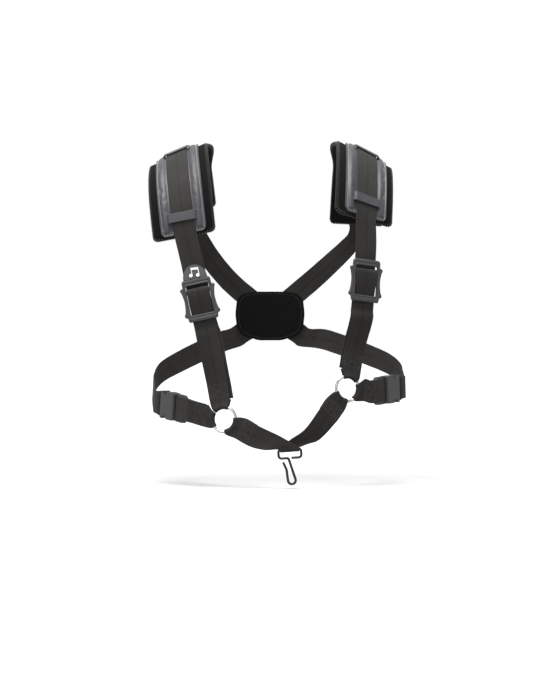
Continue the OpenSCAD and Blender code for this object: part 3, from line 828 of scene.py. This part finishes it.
shoulder_webbing("right_shoulder_web", RIGHT, RIGHT_BACK, -70, 80, RIGHT_ADJ, RIGHT_RUN, RIGHT_RING, 101, 2.8,
                 "right_shoulder_webbing")
shoulder_webbing("left_shoulder_web", LEFT, LEFT_BACK, -80, 80, LEFT_ADJ, LEFT_RUN, LEFT_RING, 79, -1.6,
                 "left_shoulder_webbing")

BAR_TURN = ((1, 2.1), (5, 2.6), (9, 2.9), (11.7, 3.3), (12.6, 5), (11.7, 6.7), (9, 7.1), (5, 6.9),
            (-3, 5.4), (-10, 3.5), (-16, 2.35), (-24, 2.1))


def box_stitch(name, strap, body, out, start, end, cross=True):
    lines = sewn(strap, out, start, end, 2.6, cross)
    finish_piece(stitches(name, lines, STRAP_THREAD, 2, 0.8, 0.2, 0.08), body)


def front_strap(side, adj, ring, up, middle, half):
    bar = [[in_frame(adj, (0, *p)), adj[0]] for p in BAR_TURN]
    grid = (
        rows_of(bar + hanging(adj, ring, up, 1.9, PAIR, 24, 0))
        + ring_turn(ring, middle, half, 1) + rows_of([leaving(ring, up, 20, -PAIR, 1)])
    )
    strap = ribbon(side + "_front_web", grid, WEB_T, WEBBING)
    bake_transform(strap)
    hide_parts(side + "_front_strap")
    box_stitch(side + "_front_web_stitching", side + "_front_web", "harness", ring[2],
               leaving(ring, up, 24, PAIR, 1)[0], leaving(ring, up, 38, PAIR, 1)[0])


front_strap("right", RIGHT_ADJ, RIGHT_RING, 101, 105, 37)
front_strap("left", LEFT_ADJ, LEFT_RING, 79, 72, 38)


def buckle_frame(at, way, out):
    x = unit(way)
    z = square_to(out, x)
    return x, np.cross(z, x), z, at


RIGHT_BUCKLE = buckle_frame(vec(-93, -100.5, -284), vec(-0.556, 0.816, 0.12), vec(-0.82, -0.56, 0))
LEFT_BUCKLE = buckle_frame(vec(116, -102, -263.5), vec(0.54, 0.835, 0.06), vec(0.84, -0.54, 0))
MALE_TURN = ((-9, 1.2), (-3, 2.5), (1.5, 3), (6, 3), (12, 3), (15.6, 2.95), (16.8, 2), (17.2, 0),
             (16.8, -2), (15.6, -2.95), (12, -3), (6, -3), (1.5, -3), (-3, -2.5), (-9, -1.2))


def side_strap(side, f, ring, out, middle, half):
    turn = [[in_frame(f, (p[0], 0, p[1])), -f[1]] for p in MALE_TURN]
    grid = (
        rows_of([leaving(ring, out, 21, -PAIR, 1)]) + ring_turn(ring, middle, half, 1)[::-1]
        + rows_of(smooth([leaving(ring, out, 22, PAIR, 1), turn[0], turn[1]], 3) + turn[2:-1])
        + rows_of([turn[-1], leaving(ring, out, 23.5, -PAIR, 1)])
    )
    strap = ribbon(side + "_side_web", grid, WEB_T, WEBBING)
    finish_piece(strap, "harness", side + "_side_strap", slot="webbing")
    box_stitch(side + "_side_web_stitching", side + "_side_web", "harness", ring[2],
               leaving(ring, out, 22, PAIR, 1)[0], leaving(ring, out, 34, PAIR, 1)[0])


side_strap("right", RIGHT_BUCKLE, RIGHT_RING, 170, 183, 35)
side_strap("left", LEFT_BUCKLE, LEFT_RING, -5, -18, 39)

FEMALE_TURN = ((64, 1.8), (60, 2.6), (57, 2.95), (54.3, 2.95), (52.8, 2.3), (52.2, 1.1), (52.1, 0),
               (52.2, -1.1), (52.8, -2.3), (54.3, -2.95), (57, -2.95), (60, -2.5), (64, -1.2), (70, -0.6))
RIGHT_SIDE = [
    [vec(-62, 112.5, -209), vec(-0.36, 0.06, 0.93)], [vec(-99, 91, -227), vec(-0.3, 0.15, 0.94)],
    [vec(-126.5, 52, -243), vec(-0.15, 0.3, 0.94)], [vec(-134.5, 10, -257), vec(0, 0.33, 0.94)],
    [vec(-133, -22, -268), vec(0.08, 0.2, 0.97)],
]
LEFT_SIDE = [
    [vec(66, 112.5, -205), vec(0.3, 0.06, 0.94)], [vec(106, 92, -219), vec(0.25, 0.15, 0.95)],
    [vec(138, 54, -233), vec(0.13, 0.26, 0.95)], [vec(151, 14, -244), vec(0, 0.28, 0.96)],
    [vec(152.5, -22, -253), vec(-0.06, 0.17, 0.98)],
]


def back_strap(name, f, side, route):
    turn = [[in_frame(f, (p[0], 0, p[1])), side * f[1]] for p in FEMALE_TURN]
    stations = from_patch(vec(side * 0.85, 0, -0.53), vec(side * 0.53, 0, 0.85)) + route + [turn[0]]
    strap = ribbon(name + "_back_web", rows_of(smooth(stations, 5) + turn[1:]), WEB_T, WEBBING)
    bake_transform(strap)
    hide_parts(name + "_back_strap")
    box_stitch(name + "_back_web_stitching", name + "_back_web", name + "_socket", f[2],
               in_frame(f, (60, 0, 2.6)), in_frame(f, (71, 0, 1.2)), False)


back_strap("right", RIGHT_BUCKLE, -1, RIGHT_SIDE)
back_strap("left", LEFT_BUCKLE, 1, LEFT_SIDE)

BAR_AT = vec(21.3, -136, -325.8)
HOOK_FRAME = (vec(cosd(4), 0, sind(4)), vec(0, 1, 0), vec(-sind(4), 0, cosd(4)), BAR_AT)
FOLD_R = HOOK_WIRE + 0.5 + WEB_T / 2
LEFT_ARM = [[vec(3.5, -138.6, -319.5), vec(0.72, 0, 0.58)]]
RIGHT_ARM = [[vec(32, -132.8, -318), vec(0.82, 0.1, -0.18)], [vec(45.9, -132, -310), vec(0.64, 0.42, -0.48)]]


def hook_strap():
    fold = [
        [in_frame(HOOK_FRAME, (0, -FOLD_R * cosd(t), -FOLD_R * sind(t))), 0.84 * HOOK_FRAME[0]]
        for t in (-25, 10, 50, 90, 130, 170, 205)
    ]
    first = [leaving(RIGHT_RING, -27, out, PAIR, -1) for out in (22, 40)]
    last = [leaving(LEFT_RING, 230, out, PAIR, -1) for out in (40, 22)]
    grid = (
        rows_of([leaving(RIGHT_RING, -27, out, -PAIR, -1) for out in (38, 22)])
        + ring_turn(RIGHT_RING, -38, 46, -1)[::-1]
        + rows_of(smooth(first + LEFT_ARM + [fold[0]], 5) + fold[1:-1])
        + rows_of(smooth([fold[-1]] + RIGHT_ARM + last, 5))
        + ring_turn(LEFT_RING, 230, 37, -1)
        + rows_of([leaving(LEFT_RING, 230, out, -PAIR, -1) for out in (22, 38)])
    )
    finish_piece(ribbon("hook_web", grid, WEB_T, WEBBING), "harness", "hook_strap", slot="webbing")
    for side, ring, angle in (("right", RIGHT_RING, -27), ("left", LEFT_RING, 230)):
        box_stitch("hook_web_stitching_" + side, "hook_web", "harness", ring[2],
                   leaving(ring, angle, 23, PAIR, -1)[0], leaving(ring, angle, 36, PAIR, -1)[0])


hook_strap()

# ---------- rings and hook ----------

for side, ring in (("right", RIGHT_RING), ("left", LEFT_RING)):
    circle = [ring[3] + RING_R * on_ring(ring, a) for a in range(0, 360, 3)]
    finish_piece(tube(side + "_ring_wire", circle, RING_WIRE, 24, NICKEL, True), side + "_ring_body",
                 side + "_ring", slot="nickel")

HOOK_PATH = ((1.7, -9.6, 0), (12.4, -9.6, 3), (12.4, 0, 3), (-12.4, 0, 3), (-12.4, -9.6, 3),
             (-1.9, -9.6, 2.4), (5.5, -38, 4.1), (-3.75, -38.3, 4.1), (-4.8, -22, 8), (-7.6, -14.8, 0))


def rounded_path(corners, step):
    """Points along straight runs joined by round bends."""
    points = [vec(*corners[0][:2])]
    for i in range(1, len(corners) - 1):
        here, r = vec(*corners[i][:2]), corners[i][2]
        before, after = unit(here - vec(*corners[i - 1][:2])), unit(vec(*corners[i + 1][:2]) - here)
        angle = math.acos(np.clip(before @ after, -1, 1))
        turn = 1 if before[0] * after[1] - before[1] * after[0] > 0 else -1
        inward = turn * vec(-before[1], before[0])
        centre = here - r * math.tan(angle / 2) * before + r * inward
        n = math.ceil(math.degrees(angle) / step)
        for j in range(n + 1):
            a = turn * angle * j / n
            points.append(centre - r * (inward * math.cos(a) + vec(-inward[1], inward[0]) * math.sin(a)))
    return points + [vec(*corners[-1][:2])]


flat = rounded_path(HOOK_PATH, 6)
end_way = unit(flat[-1] - flat[-2])
tip = [(flat[-1] + HOOK_WIRE * sind(a) * end_way, cosd(a)) for a in (15, 30, 45, 60, 72, 82)]
start_way = unit(flat[0] - flat[1])
butt = [(flat[0] + 0.35 * sind(a) * start_way, 1 - 0.3 * (1 - cosd(a))) for a in (90, 60, 30)]
hook_points = [p for p, r in butt] + flat + [p for p, r in tip]
hook_radii = [r for p, r in butt] + [1] * len(flat) + [r for p, r in tip]
hook_line = [in_frame(HOOK_FRAME, (p[0], 0, p[1])) for p in hook_points]
hook = tube("wire_hook", hook_line, HOOK_WIRE, 20, BLACK_WIRE, radii=hook_radii)
finish_piece(hook, "hook_body", "hook", slot="black_wire")

# ---------- adjusters ----------

ADJ_SIDE = ((13.6, 0.5), (15.3, 0.48), (16.1, 0.45), (16.2, 0.34), (16.9, 0.318), (18.1, 0.314),
            (19.2, 0.298), (19.6, 0.272), (19.3, 0.247), (18.6, 0.222), (18, 0.16), (17.3, 0.08),
            (17, 0), (17.2, -0.1),
            (17.8, -0.2), (18.6, -0.275), (19.5, -0.305), (19.9, -0.335), (19.5, -0.362), (18.6, -0.378),
            (17.6, -0.382), (16.8, -0.4), (16.5, -0.46), (15.4, -0.5))


def ray(polygon, angle):
    """Where a ray from the middle leaves a polygon."""
    d = vec(math.cos(angle), math.sin(angle))
    best = 0
    for p, q in zip(polygon, polygon[1:] + polygon[:1]):
        e = vec(q[0] - p[0], q[1] - p[1])
        area = d[0] * e[1] - d[1] * e[0]
        if abs(area) > 1e-9:
            t = (p[0] * e[1] - p[1] * e[0]) / area
            s = (p[0] * d[1] - p[1] * d[0]) / area
            if t > 0 and -1e-9 <= s <= 1 + 1e-9:
                best = max(best, t)
    return best * d


# Across a side of the frame, from the window to the outside: share of the way, height below or above a face.
LOW, HIGH = ADJ_LOW, ADJ_LOW + ADJ_T
FRAME_PROFILE = ((0, LOW + 0.5), (0, HIGH - 0.6), (0.03, HIGH - 0.2), (0.09, HIGH), (0.2, HIGH),
                 (0.26, HIGH - 0.12), (0.3, HIGH - 0.42), (0.38, HIGH - 0.42), (0.44, HIGH - 0.18),
                 (0.6, HIGH - 0.08), (0.78, HIGH - 0.12), (0.9, HIGH - 0.35),
                 (0.97, HIGH - 0.75), (1, HIGH - 1.2), (1, LOW + 0.9), (0.97, LOW + 0.4),
                 (0.9, LOW + 0.08), (0.8, LOW), (0.12, LOW), (0.03, LOW + 0.15))


def squared(x):
    """Fills a circle's cosine out towards a square with round corners."""
    return math.copysign(abs(x) ** 0.55, x)


def adjuster(side, f):
    outer = [(x, y * ADJ_H) for x, y in ADJ_SIDE]
    outer += [(-x, y) for x, y in outer[::-1]]
    w, h, c = 12.9, 16.5, 1.3
    inner = [(w - c, h), (w - c * 0.3, h - c * 0.3), (w, h - c)]
    inner += [(x, -y) for x, y in inner[::-1]]
    inner += [(-x, y) for x, y in inner[::-1]]
    angles = {2 * math.pi * i / 220 for i in range(220)}
    angles |= {math.atan2(y, x) % (2 * math.pi) for x, y in outer + inner}
    verts = []
    for a in sorted(angles):
        near, far = ray(inner, a), ray(outer, a)
        for s, z in FRAME_PROFILE:
            p = near + (far - near) * s
            verts.append(in_frame(f, (p[0], p[1], z)))
    faces = strip_faces(len(angles), len(FRAME_PROFILE), True)
    start = len(verts)
    spans = (-13.4, -12.9, -12, *range(-11, 12, 2), 12, 12.9, 13.4)
    section = [(2.3 * squared(cosd(t)), 1.1 * squared(sind(t))) for t in range(0, 360, 20)]
    for x in spans:
        verts += [in_frame(f, (x, 9 + y, 5 + z)) for y, z in section]
    faces += [tuple(start + i for i in q) for q in strip_faces(len(spans), len(section))]
    finish_piece(make(side + "_adjuster_frame", verts, faces, PLASTIC), side + "_slider", side + "_adjuster",
                 slot="plastic")


adjuster("right", RIGHT_ADJ)
adjuster("left", LEFT_ADJ)

# ---------- moulded parts kept from the CAD, with their edges broken ----------


def dress(node, material, edge=0.3, angle=32):
    obj = NODES[node]
    obj.data.materials.clear()
    obj.data.materials.append(material)
    bpy.context.view_layer.objects.active = obj
    bpy.ops.mesh.customdata_custom_splitnormals_clear()
    obj.data.polygons.foreach_set("use_smooth", [True] * len(obj.data.polygons))
    weld = obj.modifiers.new("weld", "WELD")
    weld.merge_threshold = 1e-6
    bevel = obj.modifiers.new("broken_edges", "BEVEL")
    bevel.width = edge * MM
    bevel.segments = 3
    bevel.limit_method = "ANGLE"
    bevel.angle_limit = math.radians(angle)
    bevel.harden_normals = True


for side in ("right", "left"):
    dress(side + "_buckle_male", PLASTIC, 0.35)
    dress(side + "_buckle_female", PLASTIC, 0.45)
    dress(side + "_upper_prong", PLASTIC, 0.25)
    dress(side + "_lower_prong", PLASTIC, 0.25)
dress("adjuster_badge", BADGE, 0.35)
dress("badge_emblem", SILVER, 0.14)

# ---------- back patch: two layers sewn over the crossing straps ----------

PATCH_STEPS = 144
PATCH_OUTLINE = ((-16, 29), (16, 29), (33, 27), (40, 20), (42, 2), (40, -16), (33, -24), (14, -30),
                 (-14, -30), (-33, -24), (-40, -16), (-42, 2), (-40, 20), (-33, 27))
# Scale of each loop of a patch's face, and how far it drops below the fair side.
PATCH_LOOPS = ((1, 0.5), (0.995, 0.16), (0.98, 0.02), (0.955, 0), (0.93, 0.12), (0.905, 0.3), (0.88, 0.1),
               (0.84, 0), (0.7, -0.08), (0.55, -0.12), (0.4, -0.14), (0.25, -0.15), (0.1, -0.15))


def patch(name, y, out, material, node, slot):
    """A layer whose middle is at y; out is 1 where its fair side faces away from the wearer."""
    outline = [ray(list(PATCH_OUTLINE), a) for a in np.linspace(0, 2 * math.pi, PATCH_STEPS, endpoint=False)]
    outline = [np.mean([outline[(i + j) % PATCH_STEPS] for j in (-2, -1, 0, 1, 2)], axis=0)
               for i in range(PATCH_STEPS)]
    verts = []
    for face in (1, -1):
        for scale, drop in PATCH_LOOPS if face > 0 else PATCH_LOOPS[::-1]:
            depth = out * (face * 0.9 - (drop if face > 0 else -min(drop, 0.1)))
            verts += [vec(p[0] * scale, y + depth, PATCH[2] + p[1] * scale) for p in outline]
    rows = 2 * len(PATCH_LOOPS)
    faces = strip_faces(rows, PATCH_STEPS, True)
    front = (len(PATCH_LOOPS) - 1) * PATCH_STEPS
    back, end = front + PATCH_STEPS, front + 2 * PATCH_STEPS
    caps = [tuple(range(front, back)), tuple(range(back, end))[::-1]]
    faces = [q for q in faces if not (front <= min(q) < back <= max(q) < end)]
    obj = make(name, verts, faces + caps, material)
    finish_piece(obj, "harness", node, slot=slot)
    ring = [vec(p[0] * 0.905, y + out * 0.72, PATCH[2] + p[1] * 0.905) for p in outline]
    ring.append(ring[0])
    finish_piece(stitches(name + "_stitching", [(ring, [vec(0, out, 0)] * len(ring))],
                          PALE_THREAD if material is COVER else DARK_THREAD), "harness")


patch("patch_outer", PATCH[1] + WEB_T / 2 + 1.2, 1, COVER, "back_patch_outer", "cover")
patch("patch_inner", PATCH[1] - WEB_T / 2 - 1.2, -1, FELT, "back_patch_inner", "felt")

# ---------- floor, light and camera ----------

floor_z = cad_box[0].z - 0.004
bpy.ops.mesh.primitive_circle_add(vertices=96, radius=40, fill_type="NGON", location=(0, 0, floor_z))
floor = bpy.context.object
floor.name = "floor"
pale = Shade("floor_pale", (0.33, 0.33, 0.33), 0.85, Specular_IOR_Level=0.05)
pale.rough(pale.between(pale.noise(3, 2), 0.8, 0.9))
floor.data.materials.append(pale.mat)

world = bpy.data.worlds.new("studio")
bpy.context.scene.world = world
world.use_nodes = True
world.node_tree.nodes["Background"].inputs["Color"].default_value = (1, 1, 1, 1)
world.node_tree.nodes["Background"].inputs["Strength"].default_value = 1.0


def lamp(name, kind, energy, place, target, **settings):
    light = bpy.data.lights.new(name, kind)
    light.energy = energy
    for key, value in settings.items():
        setattr(light, key, value)
    obj = bpy.data.objects.new(name, light)
    bpy.context.scene.collection.objects.link(obj)
    obj.location = place
    obj.rotation_euler = (Vector(target) - Vector(place)).to_track_quat("-Z", "Y").to_euler()


lamp("sky", "SUN", 9, (-0.35, -0.55, 3), (0, 0, 0), angle=math.radians(40))
lamp("front", "AREA", 14, (-1.1, -1.9, 0.5), (0, -0.05, -0.2), shape="SQUARE", size=1.2)

camera = bpy.data.objects.new("camera", bpy.data.cameras.new("camera"))
bpy.context.scene.collection.objects.link(camera)
camera.location = (0, -2.415, -0.2177)
camera.rotation_euler = (math.pi / 2, 0, 0)
camera.data.lens = 107.5
camera.data.sensor_width = 36
camera.data.clip_end = 200
bpy.context.scene.camera = camera
bpy.context.scene.view_settings.view_transform = "Standard"
